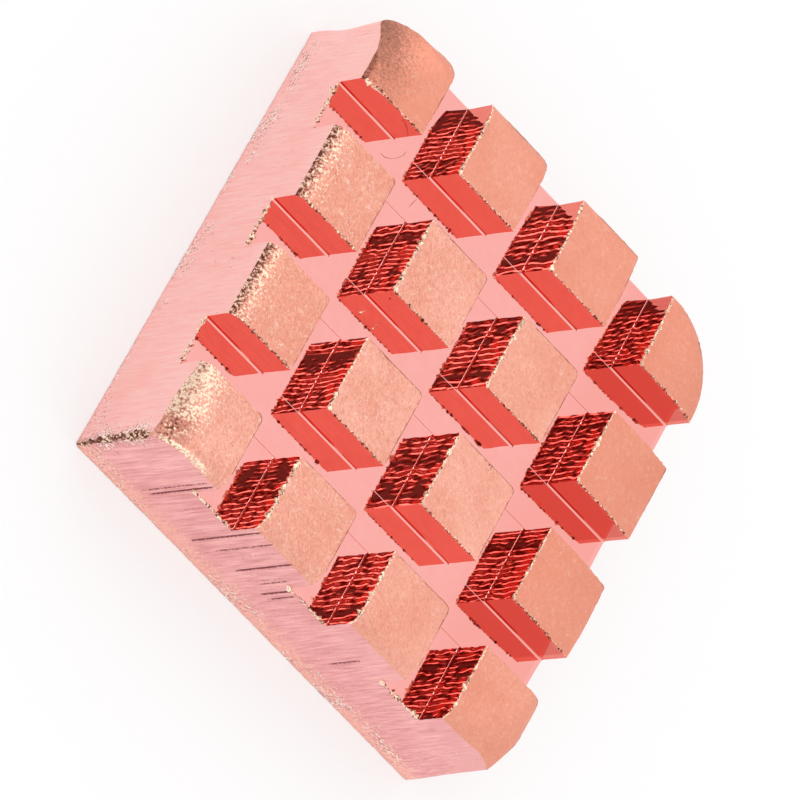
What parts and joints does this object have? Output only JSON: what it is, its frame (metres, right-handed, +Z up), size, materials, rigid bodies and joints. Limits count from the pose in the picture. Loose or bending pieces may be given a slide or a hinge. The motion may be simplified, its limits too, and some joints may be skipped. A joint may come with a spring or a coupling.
{
  "type": "pin fin heat sink",
  "caption": "Small square copper heat sink: a thick flat base with a field of short square pins sawn in one piece, rounded at one upright corner.",
  "frame": {"origin": "centre of the flat lower face, in the plane that is bonded to the chip", "axes": "+Z up the pins, square to the lower face; X and Y along the two families of saw slots, with the round upright corner at +X +Y and the sharp one at -X -Y"},
  "size_m": [0.009, 0.009, 0.0023],
  "materials": {
    "copper": "bare copper: bright sawn slots, satin pin tops and sheared sides"
  },
  "bodies": {
    "root": {"heat_sink": "copper"}
  },
  "joints": []
}
